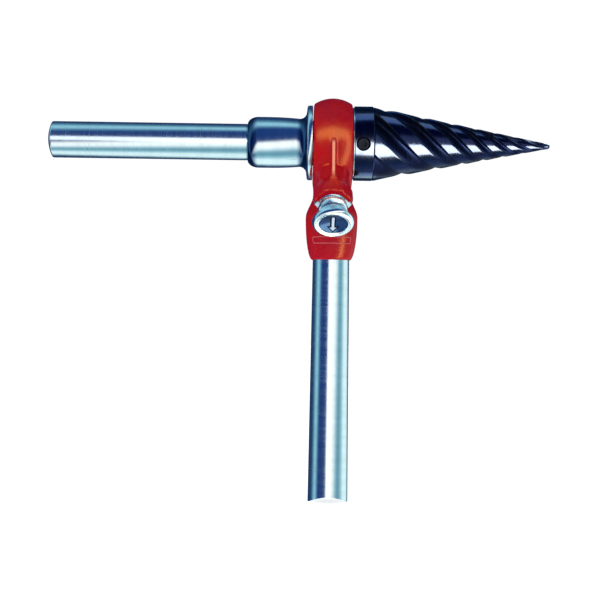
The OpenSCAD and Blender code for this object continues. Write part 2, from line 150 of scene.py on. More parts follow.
def lathe(name, outline, matrix, turns=128, closed=True, trim=None, sharp_deg=32):
    """Turns an outline of (height, radius) points about Z, then places it. trim limits the radius at
    an angle, to cut flats. A closed outline is a ring; an open one starts and ends on the axis."""
    points = []
    rings = []
    angles = np.linspace(0, 2 * np.pi, turns, endpoint=False)
    for height, radius in outline:
        if radius < 1e-6:
            rings.append([len(points)] * turns)
            points.append((0, 0, height))
            continue
        rings.append(list(range(len(points), len(points) + turns)))
        for angle in angles:
            r = trim(angle, radius, height) if trim else radius
            points.append((r * math.cos(angle), r * math.sin(angle), height))
    pairs = list(zip(rings, rings[1:]))
    if closed:
        pairs.append((rings[-1], rings[0]))
    faces = []
    for lower, upper in pairs:
        for k in range(turns):
            j = (k + 1) % turns
            corners = [lower[k], lower[j], upper[j], upper[k]]
            face = list(dict.fromkeys(corners))
            if len(face) > 2:
                faces.append(face)
    return add_mesh(name, points, faces, matrix, sharp_deg)


def cut(piece, cutters, sharp_deg=32):
    """Takes the cutters out of a piece for good, and removes them."""
    for cutter in cutters:
        modifier = piece.modifiers.new("cut", "BOOLEAN")
        modifier.operation = "DIFFERENCE"
        modifier.solver = "EXACT"
        modifier.object = cutter
    apply_modifiers(piece)
    for cutter in cutters:
        bpy.data.objects.remove(cutter)
    smooth(piece.data, sharp_deg)


def apply_modifiers(piece):
    graph = bpy.context.evaluated_depsgraph_get()
    mesh = bpy.data.meshes.new_from_object(piece.evaluated_get(graph))
    piece.modifiers.clear()
    piece.data = mesh


def bar(name, radius, start, end, matrix, chamfer=0.0, turns=64):
    """A plain round bar, used as a cutter. chamfer widens its far end."""
    outline = [(start, 0), (start, radius), (end - chamfer, radius), (end, radius + chamfer), (end, 0)]
    return lathe(name, outline, matrix, turns, closed=False)


def surface_net(field, low, high, cell):
    """Points and faces of the surface where a field is zero, in millimetres. The field is negative
    inside. Each cell that the surface crosses gets one point, which is then moved on to the surface."""
    axes = [np.arange(a, b + cell, cell) for a, b in zip(low, high)]
    grid = np.meshgrid(*axes, indexing="ij")
    values = field(*grid)
    cells = tuple(n - 1 for n in values.shape)
    total = np.zeros(cells + (3,))
    count = np.zeros(cells)
    crossings = []
    for axis in range(3):
        a = np.take(values, range(values.shape[axis] - 1), axis)
        b = np.take(values, range(1, values.shape[axis]), axis)
        crossed = (a < 0) != (b < 0)
        share = np.where(crossed, a / np.where(crossed, a - b, 1), 0)
        position = np.stack(np.meshgrid(*[np.arange(n, dtype=float) for n in a.shape], indexing="ij"), -1)
        position[..., axis] += share
        others = [k for k in range(3) if k != axis]
        for shift in ((0, 0), (0, 1), (1, 0), (1, 1)):
            window = [slice(None)] * 3
            for k, s in zip(others, shift):
                window[k] = slice(s, s + cells[k])
            window = tuple(window)
            total += position[window] * crossed[window][..., None]
            count += crossed[window]
        crossings.append((axis, others, crossed, a < 0))
    used = count > 0
    number = np.full(cells, -1)
    number[used] = np.arange(used.sum())
    points = total[used] / count[used][:, None] * cell + np.array([axis[0] for axis in axes])
    faces = []
    for axis, others, crossed, inside in crossings:
        where = np.argwhere(crossed)
        keep = np.all([(where[:, k] > 0) & (where[:, k] < cells[k]) for k in others], 0)
        where = where[keep]
        corner = []
        for shift in ((1, 1), (0, 1), (0, 0), (1, 0)):
            at = where.copy()
            for k, s in zip(others, shift):
                at[:, k] -= s
            corner.append(number[at[:, 0], at[:, 1], at[:, 2]])
        quads = np.stack(corner, 1)
        outward = inside[where[:, 0], where[:, 1], where[:, 2]] != (axis == 1)
        quads[~outward] = quads[~outward][:, ::-1]
        faces.append(quads)
    step = 0.02
    for _ in range(4):
        value = field(*points.T)
        slope = np.stack([(field(*(points + step * unit).T) - value) / step for unit in np.eye(3)], 1)
        points -= (value / np.maximum((slope ** 2).sum(1), 0.2))[:, None] * slope
    return points, np.concatenate(faces)


def smooth_min(a, b, reach):
    """Union of two fields with a fillet."""
    h = np.clip(0.5 + 0.5 * (b - a) / reach, 0, 1)
    return b * (1 - h) + a * h - reach * h * (1 - h)


def smooth_max(a, b, reach):
    """Intersection of two fields with a rounded edge."""
    return -smooth_min(-a, -b, reach)


def ease(value, start, end):
    """0 before start, 1 after end, and a smooth step between."""
    t = np.clip((value - start) / (end - start), 0, 1)
    return t * t * (3 - 2 * t)


# ------------------------------------------------------------------ material helpers

def material(name, color, metallic, roughness, **sockets):
    """A principled material, and a small kit for adding nodes to it."""
    mat = bpy.data.materials.new(name)
    mat.use_nodes = True
    shader = mat.node_tree.nodes["Principled BSDF"]
    shader.inputs["Base Color"].default_value = (*color, 1)
    shader.inputs["Metallic"].default_value = metallic
    shader.inputs["Roughness"].default_value = roughness
    for key, value in sockets.items():
        shader.inputs[key.replace("_", " ")].default_value = value
    mat.diffuse_color = (*color, 1)
    return mat


def node(mat, kind, **inputs):
    made = mat.node_tree.nodes.new(kind)
    for key, value in inputs.items():
        made.inputs[key.replace("_", " ")].default_value = value
    return made


def link(mat, source, target):
    mat.node_tree.links.new(source, target)


def place(mat, scale):
    """Object coordinates in metres, scaled on each axis."""
    coordinates = node(mat, "ShaderNodeTexCoord")
    mapping = node(mat, "ShaderNodeMapping", Scale=scale)
    link(mat, coordinates.outputs["Object"], mapping.inputs["Vector"])
    return mapping.outputs["Vector"]


def noise(mat, scale, detail=3.0, roughness=0.5, stretch=(1, 1, 1)):
    made = node(mat, "ShaderNodeTexNoise", Scale=scale, Detail=detail, Roughness=roughness)
    link(mat, place(mat, stretch), made.inputs["Vector"])
    return made.outputs["Fac"]


def remap(mat, value, low, high, to_low, to_high):
    made = node(mat, "ShaderNodeMapRange")
    for key, number in (("From Min", low), ("From Max", high), ("To Min", to_low), ("To Max", to_high)):
        made.inputs[key].default_value = number
    link(mat, value, made.inputs["Value"])
    return made.outputs["Result"]


def mix_color(mat, factor, first, second):
    """Mixes two colours, each a plain colour or another node's output."""
    made = mat.node_tree.nodes.new("ShaderNodeMix")
    made.data_type = "RGBA"
    link(mat, factor, made.inputs["Factor"])
    for key, value in (("A", first), ("B", second)):
        socket = [s for s in made.inputs if s.name == key and s.type == "RGBA"][0]
        if isinstance(value, tuple):
            socket.default_value = (*value, 1)
        else:
            link(mat, value, socket)
    return [s for s in made.outputs if s.type == "RGBA"][0]


def bump(mat, height, strength, distance_m):
    made = node(mat, "ShaderNodeBump", Strength=strength, Distance=distance_m)
    link(mat, height, made.inputs["Height"])
    link(mat, made.outputs["Normal"], mat.node_tree.nodes["Principled BSDF"].inputs["Normal"])


def feed(mat, value, socket):
    link(mat, value, mat.node_tree.nodes["Principled BSDF"].inputs[socket])


# ------------------------------------------------------------------ materials

def turned_steel(name, color, roughness, axis, marks, painted_dark_reflection_ends=()):
    """Lathe-turned steel: fine rings round the axis, a few deeper ones, and faint handling marks.

    The last argument lists stretches along the axis, in millimetres, over which a navy tint fades in: a
    painted dark reflection."""
    mat = material(name, color, 1.0, roughness)
    stretch = [12, 12, 12]
    stretch[axis] = 900
    fine = noise(mat, 1.0, 4.0, 0.65, stretch)
    stretch[axis] = 160
    broad = noise(mat, 1.0, 2.0, 0.5, stretch)
    smudge = noise(mat, 55, 3.0, 0.6)
    feed(mat, remap(mat, fine, 0.3, 0.7, roughness * 0.7, roughness * 1.45), "Roughness")
    tint = tuple(c * 0.8 for c in color)
    streaked = mix_color(mat, remap(mat, broad, 0.42, 0.68, 0, 0.35), color, tint)
    finished = mix_color(mat, remap(mat, smudge, 0.52, 0.75, 0, 0.3), streaked, tint)
    # painted dark reflection: navy mixed in towards each listed end
    for clean, dark in painted_dark_reflection_ends:
        split = node(mat, "ShaderNodeSeparateXYZ")
        link(mat, place(mat, (1, 1, 1)), split.inputs["Vector"])
        fade = remap(mat, split.outputs[axis], clean * MM, dark * MM, 0, 1)
        fade.node.interpolation_type = "SMOOTHSTEP"
        finished = mix_color(mat, fade, finished, (0.05, 0.10, 0.22))
    feed(mat, finished, "Base Color")
    bump(mat, fine, marks, 0.00002)
    return mat


def ridge_painted_highlight(mat):
    """1 along the crest of the head's front rib, where a pale painted highlight goes, and 0 elsewhere."""
    split = node(mat, "ShaderNodeSeparateXYZ")
    link(mat, place(mat, (1, 1, 1)), split.inputs["Vector"])
    left = remap(mat, split.outputs[X], (head_x - 1.5) * MM, (head_x - 0.7) * MM, 0, 1)
    right = remap(mat, split.outputs[X], (head_x + 1.3) * MM, (head_x + 0.5) * MM, 0, 1)
    front = remap(mat, split.outputs[Y], -32.5 * MM, -33.5 * MM, 0, 1)
    low = remap(mat, split.outputs[Z], -29 * MM, -24 * MM, 0, 1)
    high = remap(mat, split.outputs[Z], -1 * MM, -4 * MM, 0, 1)
    total = left
    for part in (right, front, low, high):
        product = mat.node_tree.nodes.new("ShaderNodeMath")
        product.operation = "MULTIPLY"
        link(mat, total, product.inputs[0])
        link(mat, part, product.inputs[1])
        total = product.outputs["Value"]
    return total


def enamel(name):
    """Glossy red enamel over a casting: slight orange peel, uneven depth, thin on raised edges, and a pale
    painted highlight along the front rib's crest.
    """
    mat = material(name, (0.42, 0.001, 0.008), 0.0, 0.30, Specular_IOR_Level=0.1)
    depth = noise(mat, 45, 3.0, 0.6)
    red = mix_color(mat, remap(mat, depth, 0.35, 0.68, 0, 1), (0.45, 0.001, 0.005), (0.37, 0.001, 0.016))
    edges = node(mat, "ShaderNodeNewGeometry").outputs["Pointiness"]
    worn = noise(mat, 260, 4.0, 0.7)
    edge = remap(mat, edges, 0.512, 0.545, 0, 1)
    chip = mat.node_tree.nodes.new("ShaderNodeMath")
    chip.operation = "MULTIPLY"
    link(mat, edge, chip.inputs[0])
    link(mat, remap(mat, worn, 0.45, 0.62, 0, 0.75), chip.inputs[1])
    chipped = mix_color(mat, chip.outputs["Value"], red, (0.62, 0.07, 0.03))
    # painted highlight: a pale orange stripe down the front rib's crest
    feed(mat, mix_color(mat, ridge_painted_highlight(mat), chipped, (0.85, 0.30, 0.20)), "Base Color")
    peel = noise(mat, 520, 2.0, 0.5)
    feed(mat, remap(mat, peel, 0.3, 0.7, 0.24, 0.36), "Roughness")
    bump(mat, peel, 0.25, 0.00006)
    return mat


def blued_steel(name, color, roughness):
    """Black-oxide tool steel with a blue sheen, clouded, and ground fine."""
    mat = material(name, color, 1.0, roughness)
    cloud = noise(mat, 90, 4.0, 0.6)
    pale = tuple(c * 1.15 for c in color)
    deep = tuple(c * 0.85 for c in color)
    feed(mat, mix_color(mat, remap(mat, cloud, 0.35, 0.7, 0, 1), pale, deep), "Base Color")
    grind = noise(mat, 1.0, 3.0, 0.6, (1500, 90, 90))
    feed(mat, remap(mat, grind, 0.3, 0.7, roughness * 0.75, roughness * 1.3), "Roughness")
    bump(mat, grind, 0.05, 0.00001)
    return mat


def plated(name, roughness=0.12, color=(0.80, 0.85, 0.92)):
    """Bright plating with fine scratches and a little dulling."""
    mat = material(name, color, 1.0, roughness)
    dull = noise(mat, 160, 4.0, 0.6)
    worn = tuple(c * 0.7 for c in color)
    feed(mat, mix_color(mat, remap(mat, dull, 0.45, 0.75, 0, 0.6), color, worn), "Base Color")
    scratch = noise(mat, 1.0, 3.0, 0.7, (1500, 220, 400))
    feed(mat, remap(mat, scratch, 0.35, 0.7, roughness * 0.6, roughness * 2), "Roughness")
    bump(mat, scratch, 0.08, 0.00001)
    return mat


def plain_metal(name, color, roughness, metallic=1.0):
    """Machined metal of the inner pieces, with light tool marks."""
    mat = material(name, color, metallic, roughness)
    marks = noise(mat, 420, 4.0, 0.65)
    dark = tuple(c * 0.7 for c in color)
    feed(mat, mix_color(mat, remap(mat, marks, 0.4, 0.7, 0, 0.8), color, dark), "Base Color")
    feed(mat, remap(mat, marks, 0.3, 0.7, roughness * 0.75, roughness * 1.3), "Roughness")
    bump(mat, marks, 0.1, 0.00002)
    return mat


ENAMEL = enamel("red_enamel")
# pale pink enamel for the label frame: rubbed paint and a painted highlight on its raised edges
RUBBED_PAINTED_HIGHLIGHT_ENAMEL = plain_metal("rubbed_painted_highlight_enamel", (0.62, 0.09, 0.11), 0.4, 0.0)
FEED_STEEL = turned_steel("feed_steel", (0.68, 0.77, 0.84), 0.20, X, 0.35)
HANDLE_STEEL = turned_steel("handle_steel", (0.68, 0.77, 0.84), 0.19, Z, 0.3)
# the hub's shoulder and flange fillet get a navy painted dark reflection
HUB_STEEL = turned_steel("hub_steel", (0.72, 0.80, 0.88), 0.17, X, 0.15,
                         ((hub_rear + 8.5, hub_rear + 3.5), (hub_front - 12.5, hub_front - 8.0)))
FLANGE_STEEL = plated("flange_steel", 0.16)
BLUED = blued_steel("blued_steel", (0.011, 0.017, 0.060), 0.16)
# painted shade for the flutes: a much darker blue, with a rougher finish
FLUTE_PAINTED_SHADE = blued_steel("flute_painted_shade", (0.0014, 0.0030, 0.022), 0.38)
# painted highlight: a lighter blue for the strip along each cutting edge
EDGE_PAINTED_HIGHLIGHT = blued_steel("cutting_edge_painted_highlight", (0.03, 0.06, 0.17), 0.3)
PLATED = plated("bright_plate")
BONNET_PLATE = plated("bonnet_plate", 0.2)
# painted dark reflection for the knob's dished face: a navy plating colour
DISH_PAINTED_REFLECTION = plated("dish_painted_reflection", 0.16, (0.016, 0.045, 0.15))
BLACK = plain_metal("black_oxide", (0.02, 0.022, 0.035), 0.35, 0.7)
ARROW_PALE = plain_metal("arrow_pale", (0.55, 0.68, 0.85), 0.35, 0.0)
PAINT_FILL = plain_metal("paint_fill", (0.004, 0.006, 0.015), 0.6, 0.0)
PAINT_FILL.node_tree.nodes["Principled BSDF"].inputs["Specular IOR Level"].default_value = 0.1
GROUND = plain_metal("ground_steel", (0.50, 0.54, 0.60), 0.25)
SPRING = plain_metal("spring_steel", (0.30, 0.31, 0.34), 0.3)
BRONZE = plain_metal("bearing_bronze", (0.60, 0.36, 0.14), 0.32)


def finish_piece(piece, mat, body, slot, *stands_for):
    """Gives a piece its material and its body, and hides the CAD nodes that it stands for."""
    piece.data.materials.clear()
    piece.data.materials.append(mat)
    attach(piece, body)
    if stands_for:
        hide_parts(*stands_for)
    return piece


# ------------------------------------------------------------------ ratchet head

def barrel_radius(z):
    """Radius of the handle socket and the neck above it, at a height."""
    neck, widest, top, low = 14.1, 56.0, 38.0, 14.0
    depth = -z
    rise = np.clip((widest - depth) / (widest - top), 0, 1)
    above = neck + (socket_r - neck) * 0.5 * (1 + np.cos(np.pi * rise))
    fall = np.clip((depth - widest) / (socket_bottom - widest), 0, 1)
    below = low + (socket_r - low) * np.sqrt(1 - fall ** 2)
    return np.where(depth < widest, above, below)


def head_field(x, y, z):
    """Casting of the head, about its own middle: ring, neck, barrel, pawl boss and front rib."""
    half_width = 14.7
    face_r = 28.3
    rise = crown_r - face_r
    arc_r = (half_width ** 2 + rise ** 2) / (2 * rise)
    from_axis = np.hypot(y, z)
    ring = smooth_max(np.hypot(x, from_axis - (crown_r - arc_r)) - arc_r, np.abs(x) - half_width, 1.6)

    from_handle = np.hypot(x, y)
    barrel = smooth_max(0.92 * (from_handle - barrel_radius(z)), -socket_bottom - z, 1.6)
    barrel = np.maximum(barrel, z + 18)

    # the boss has a flat mouth, with a hood that rises over the bonnet's upper side
    out = y * PAWL_AXIS.y + z * PAWL_AXIS.z
    side = y * PAWL_UP.y + z * PAWL_UP.z
    from_pawl = np.hypot(x, side)
    beyond_mouth = out - BOSS_END - (HOOD_H - HOOD_FALL * side) * ease(side, 3.2, 5.0)
    boss = smooth_max(from_pawl - 12.0 - 2.5 * ease(out, 42, 51), beyond_mouth, 0.6)
    boss = np.maximum(boss, 12 - out)

    # the rib's front edge runs from the ring's front down to the edge of the hood
    top = np.array([-33.3, 1.5])
    foot = np.array([-43.8, -39.6])
    run = (foot - top) / np.linalg.norm(foot - top)
    beyond = -(y - top[0]) * -run[1] - (z - top[1]) * run[0]
    rib_half = 1.2 + 5.6 * ease(-z, 24, 41)
    rib = smooth_max(np.abs(x) - rib_half, beyond, 1.2)
    rib = smooth_max(rib, z + 1.5, 3)
    rib = smooth_max(rib, beyond_mouth, 1.2)
    rib = np.maximum(rib, y + 12)

    web = np.hypot(np.hypot(x, y + 13), np.maximum(np.abs(z + 42) - 12, 0)) - 8.5

    whole = smooth_min(ring, barrel, 7)
    whole = smooth_min(whole, boss, 2)
    whole = smooth_min(whole, web, 3)
    whole = smooth_min(whole, rib, 2.6)
    limit = np.maximum(half_width, barrel_radius(z))
    whole = smooth_max(whole, np.abs(x) - limit, 1.2)
    return smooth_max(whole, -np.maximum(from_pawl - 16, -beyond_mouth), 0.6)


BOSS_END = 54.8
HOOD_H = 7.6         # the hood's height over the boss, extended to the pawl's axis
HOOD_FALL = 0.31     # how much lower it gets for each millimetre away from the axis
BONNET_POCKET_R = 11.5


def build_head():
    points, faces = surface_net(head_field, (-21, -50, -89), (21, 35, 35), 0.7)
    place_head = Matrix.Translation((head_x * MM, 0, 0))
    head = add_mesh("head_casting", points, faces, place_head)

    pocket_front = span("ratchet_gear", X)[1] + 0.3
    clip_rear, clip_front = span("gear_circlip", X)
    pocket = rounded([(-60, 0), (-60, 23.6), (head_x - 14.2, 23.6), (head_x - 13.1, 22.5),
                      (clip_rear - 0.05, 22.5), (clip_rear - 0.05, 24.1), (clip_front + 0.05, 24.1),
                      (clip_front + 0.05, 22.5), (pocket_front, 22.5), (pocket_front, 14.95),
                      (-10, 14.95), (-10, 0)], 0)
    socket = [(46, 0), (46, 13.6), (socket_bottom - 0.7, 13.6), (socket_bottom + 1, 15.3),
              (socket_bottom + 1, 0)]
    guide = [(18, 0), (18, 6.05), (36, 6.05), (36, 8.6), (46.6, 8.6), (46.6, 10.5), (BOSS_END, 10.5),
             (BOSS_END, BONNET_POCKET_R), (BOSS_END + 9, BONNET_POCKET_R), (BOSS_END + 9, 0)]
    screw_hole = Matrix.Translation((head_x * MM, 0, -66 * MM)) @ Matrix.Rotation(math.radians(-90), 4, "X")
    cut(head, [
        lathe("cut_pocket", pocket, ALONG_X, closed=False),
        lathe("cut_socket", socket, DOWN_Z, closed=False),
        lathe("cut_guide", guide, ON_PAWL, closed=False),
        bar("cut_screw", 3.0, 0, 19.9, screw_hole, 0.6),
    ])
    return finish_piece(head, ENAMEL, "head", "head_enamel", "ratchet_head")


def build_label_frame():
    """A plain raised outline across the barrel's front, where a maker would cast a name."""
    half_turn = math.radians(47)
    half_height = 2.3
    middle = -72.8
    corner = 1.2
    bead_r = 0.34
    middle_r = float(barrel_radius(np.array(middle)))
    half_run = half_turn * middle_r
    path = []
    for across, up, start in ((1, 1, 0), (-1, 1, 90), (-1, -1, 180), (1, -1, 270)):
        for i in range(7):
            a = math.radians(start + 15 * i)
            path.append((across * (half_run - corner) + corner * math.cos(a),
                         up * (half_height - corner) + corner * math.sin(a)))
    dense = []
    for (run, rise), (next_run, next_rise) in zip(path, path[1:] + path[:1]):
        steps = max(1, int(math.hypot(next_run - run, next_rise - rise) / 0.8))
        dense += [(run + (next_run - run) * k / steps, rise + (next_rise - rise) * k / steps)
                  for k in range(steps)]
    sides = 10
    points = []
    for i, (run, rise) in enumerate(dense):
        ahead = dense[(i + 1) % len(dense)]
        behind = dense[i - 1]
        along = Vector((ahead[0] - behind[0], ahead[1] - behind[1])).normalized()
        for k in range(sides):
            a = 2 * math.pi * k / sides
            r_run = run + along.y * bead_r * math.cos(a)
            r_rise = rise - along.x * bead_r * math.cos(a)
            z = middle + r_rise
            r = float(barrel_radius(np.array(z))) + bead_r * math.sin(a)
            turn = r_run / middle_r
            points.append((r * math.sin(turn), -r * math.cos(turn), z))
    count = len(dense)
    faces = []
    for i in range(count):
        for k in range(sides):
            j = (k + 1) % sides
            n = (i + 1) % count
            faces.append((i * sides + k, i * sides + j, n * sides + j, n * sides + k))
    frame_piece = add_mesh("label_frame", points, faces, Matrix.Translation((head_x * MM, 0, 0)))
    # the frame's paler colour is partly rubbed paint and partly a painted highlight on its raised edges
    return finish_piece(frame_piece, RUBBED_PAINTED_HIGHLIGHT_ENAMEL, "head", "head_enamel")


# ------------------------------------------------------------------ handles

def build_ratchet_handle():
    bore = 11.0
    near = -handle_top
    far = -handle_end
    seat_r = 13.6
    dimple_z = -66
    outline = rounded([(near, bore), (near, seat_r), (socket_bottom, seat_r), (far, handle_end_r),
                       (far, bore)], 0.5)
    handle = lathe("handle_tube", outline, DOWN_Z, 160)
    notch = 5.0
    saddle_r = (handle_end_r ** 2 + notch ** 2) / (2 * notch)
    centre = Matrix.Translation((head_x * MM, 0, (handle_end + notch - saddle_r) * MM))
    across = centre @ Matrix.Rotation(math.radians(90), 4, "X")
    dimple = Matrix.Translation((head_x * MM, 0, dimple_z * MM)) @ Matrix.Rotation(math.radians(-90), 4, "X")
    cut(handle, [bar("cut_saddle", saddle_r, -40, 40, across, turns=256),
                 bar("cut_dimple", 2.5, 0, 20, dimple)])
    return finish_piece(handle, HANDLE_STEEL, "head", "handle_steel", "ratchet_handle")


def build_feed_tube():
    grip_end = hub_rear - 0.4
    outline = rounded([(tube_rear, 11), (tube_rear, tube_r), (grip_end, tube_r), (grip_end, tube_r - 0.4),
                       (tube_front, tube_r - 0.4), (tube_front, 11)], 0.12)
    tube = lathe("feed_tube_turned", outline, ALONG_X, 160)
    return finish_piece(tube, FEED_STEEL, "feed_handle", "handle_steel", "feed_tube")


def build_end_cap():
    crown = 3.2
    rim = cap_end + crown
    arc_r = (tube_r ** 2 + crown ** 2) / (2 * crown)
    dome = []
    for i in range(9):
        r = (tube_r - 0.9) * i / 8
        dome.append((cap_end + arc_r - math.sqrt(arc_r ** 2 - r ** 2), r))
    edge = [(rim - 0.1, tube_r - 0.35), (rim + 0.45, tube_r), (tube_rear, tube_r), (tube_rear, 11),
            (cap_seat, 11), (cap_seat, 0)]
    cap = lathe("feed_cap_turned", dome + edge, ALONG_X, 160, closed=False, sharp_deg=45)
    return finish_piece(cap, FEED_STEEL, "feed_handle", "handle_steel", "feed_end_cap")


def build_hub():
    """Hub with a soft shoulder at the tube, a slight waist and a fillet up to its flange."""
    body_r = 18.8
    waist_r = 17.8
    shoulder = 8.0
    flange_t = 4.1
    flange_rear = hub_front - flange_t
    fillet = 5.0
    outline = [(hub_front, 11.5), (hub_front, flange_r - 0.4), (hub_front - 0.4, flange_r),
               (flange_rear + 1.0, flange_r), (flange_rear + 0.25, flange_r - 0.7),
               (flange_rear, flange_r - 1.6), (flange_rear - 0.4, waist_r + fillet)]
    for i in range(1, 11):
        a = math.radians(9 * i)
        outline.append((flange_rear - 0.4 - fillet * (1 - math.cos(a)), waist_r + fillet * (1 - math.sin(a))))
    waist_end = flange_rear - 0.4 - fillet
    crown_x = hub_rear + 16
    for i in range(1, 9):
        t = i / 8
        outline.append((waist_end + (crown_x - waist_end) * t, waist_r + (body_r - waist_r) * t * (2 - t)))
    for i in range(13):
        a = math.radians(7.5 * i)
        outline.append((hub_rear + shoulder * (1 - math.sin(a)), body_r - 5.6 * (1 - math.cos(a))))
    bush_rear = span("feed_bush", X)[0]
    tail_r = tube_r - 0.4
    outline += [(hub_rear, tail_r), (bush_rear, tail_r), (bush_rear, 11.5)]
    hub = lathe("hub_bell", outline, ALONG_X, 192, sharp_deg=50)
    finish_piece(hub, HUB_STEEL, "feed_handle", "handle_steel", "feed_hub")
    hub.data.materials.append(FLANGE_STEEL)
    for face in hub.data.polygons:
        if face.center.x / MM > flange_rear and math.hypot(face.center.y, face.center.z) / MM > flange_r - 3:
            face.material_index = 1
    return hub


# ------------------------------------------------------------------ cone and collar

FLUTES = 5
LAND = 0.43
CONE_SLOPE = 0.196
HELIX = math.tan(math.radians(46))
LEAD_R = 12.0
FLUTE_START = math.radians(22.2)


def cone_radius(x):
    return max(collar_r - CONE_SLOPE * x, 1.2)


def land_turn(x):
    """Turn of the lands from the collar to a station: constant helix angle, then constant lead."""
    lead_x = (collar_r - LEAD_R) / CONE_SLOPE
    if x < lead_x:
        return HELIX / CONE_SLOPE * math.log(collar_r / cone_radius(x))
    return HELIX / CONE_SLOPE * math.log(collar_r / LEAD_R) + (x - lead_x) * HELIX / LEAD_R


def land_outline(u):
    """Radius, as a share of the cone's, across one land, its heel and its flute."""
    depth = 0.22
    heel = LAND + 0.10
    if u < LAND:
        return 1 - 0.02 * u / LAND
    if u < heel:
        return 0.98 - 0.035 * (u - LAND) / (heel - LAND)
    v = (u - heel) / (1 - heel)
    low = 0.70
    if v < low:
        return 0.945 - (depth - 0.055) * math.sin(math.pi / 2 * v / low) ** 1.2
    rise = (v - low) / (1 - low)
    return 1 - depth + depth * rise ** 2.1


def build_cone():
    shares = list(np.linspace(0, LAND, 9)) + list(np.linspace(LAND + 0.02, LAND + 0.10, 4))
    shares += list(np.linspace(LAND + 0.125, 0.90, 14)) + [0.925, 0.945, 0.96, 0.972, 0.984, 0.993]
    around = len(shares) * FLUTES
    tip_round = 2.4
    body_end = cone_tip - tip_round
    stations = [(0.0, collar_r - 0.5), (0.5, cone_radius(0.5))]
    stations += [(x, cone_radius(x)) for x in np.linspace(1.0, body_end, 260)]
    for a in range(15, 90, 15):
        stations.append((body_end + tip_round * math.sin(math.radians(a)),
                         cone_radius(body_end) * math.cos(math.radians(a))))
    points = []
    for x, r in stations:
        for flute in range(FLUTES):
            for u in shares:
                turn = (flute + u) * 2 * math.pi / FLUTES - land_turn(x) - FLUTE_START
                rho = r * land_outline(u)
                points.append((x, -rho * math.cos(turn), rho * math.sin(turn)))
    turns = [(f + u) * 2 * math.pi / FLUTES - FLUTE_START for f in range(FLUTES) for u in shares]
    shank = [(0, 14), (collar_rear, 14), (collar_rear, 9), (24, 9)]
    inner = []
    for x, r in shank:
        inner.append([(x, -r * math.cos(t), r * math.sin(t)) for t in turns])
    rings = len(stations)
    faces = []
    for i in range(rings - 1):
        for k in range(around):
            j = (k + 1) % around
            faces.append((i * around + k, i * around + j, (i + 1) * around + j, (i + 1) * around + k))
    tip = len(points)
    points.append((cone_tip, 0, 0))
    for k in range(around):
        faces.append(((rings - 1) * around + k, (rings - 1) * around + (k + 1) % around, tip))
    previous = 0
    for ring in inner:
        start = len(points)
        points += ring
        for k in range(around):
            j = (k + 1) % around
            faces.append((previous + j, previous + k, start + k, start + j))
        previous = start
    floor = len(points)
    points.append((24, 0, 0))
    for k in range(around):
        faces.append((previous + (k + 1) % around, previous + k, floor))
    cone = add_mesh("spiral_cone", points, faces, Matrix.Identity(4), 24)
    finish_piece(cone, BLUED, "reamer", "blued_steel", "reamer_cone")
    cone.data.materials.append(FLUTE_PAINTED_SHADE)
    cone.data.materials.append(EDGE_PAINTED_HIGHLIGHT)
    skin_faces = (rings - 1) * around
    for face in cone.data.polygons[:skin_faces]:
        u = shares[face.index % around % len(shares)]
        # painted highlight: a lighter blue strip along each cutting edge
        if u > 0.98:
            face.material_index = 2
        # painted shade: the flutes get the much darker blue
        elif u > LAND + 0.03:
            face.material_index = 1
    return cone


SCREW_X = -8.0
SCREW_TURNS = (8, 128, 248)


def screw_place(turn):
    """Places a piece drawn along +Z on one of the collar's screw axes."""
    return Matrix.Translation((SCREW_X * MM, 0, 0)) @ Matrix.Rotation(math.radians(90 + turn), 4, "X")


def build_collar():
    outline = rounded([(collar_rear, 14), (collar_rear, collar_r, 0.35), (collar_front, collar_r, 0.9),
                       (collar_front, 14)], 0.2)
    collar = lathe("collar_ring", outline, ALONG_X, 160)
    cut(collar, [bar("cut_screw", 5.0, 8, 28.0, screw_place(turn), 0.75, 96) for turn in SCREW_TURNS])
    return finish_piece(collar, BLUED, "reamer", "blued_steel", "cone_collar")


def build_set_screws():
    """Socket set screws with a chamfered crown, a thread and a hexagon socket."""
    top = collar_r - 1.0
    outline = [(8, 0), (8, 3.5), (10, 4.9)]
    pitch = 1.25
    for i in range(int((top - 11.4) / pitch)):
        base = 10.3 + i * pitch
        outline += [(base, 4.55), (base + pitch * 0.5, 5.0)]
    outline += [(top - 0.9, 4.7), (top, 3.9), (top, 0)]
    pieces = []
    for turn in SCREW_TURNS:
        screw = lathe(f"set_screw_{turn}", outline, screw_place(turn), 72, closed=False)
        socket = bar(f"cut_hex_{turn}", 2.9, top - 4.5, top + 1, screw_place(turn), 0, 6)
        cut(screw, [socket])
        pieces.append(finish_piece(screw, BLACK, "reamer", "screw_black"))
    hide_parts("cone_set_screws")
    return pieces


def build_front_washer():
    outline = rounded([(washer_rear, 9.0), (washer_rear, washer_r), (washer_front, washer_r),
                       (washer_front, 9.0)], 0.25)
    washer = lathe("thrust_washer", outline, ALONG_X, 128)
    return finish_piece(washer, PLATED, "reamer", "zinc_plate", "front_washer")


# ------------------------------------------------------------------ pawl bonnet and knob

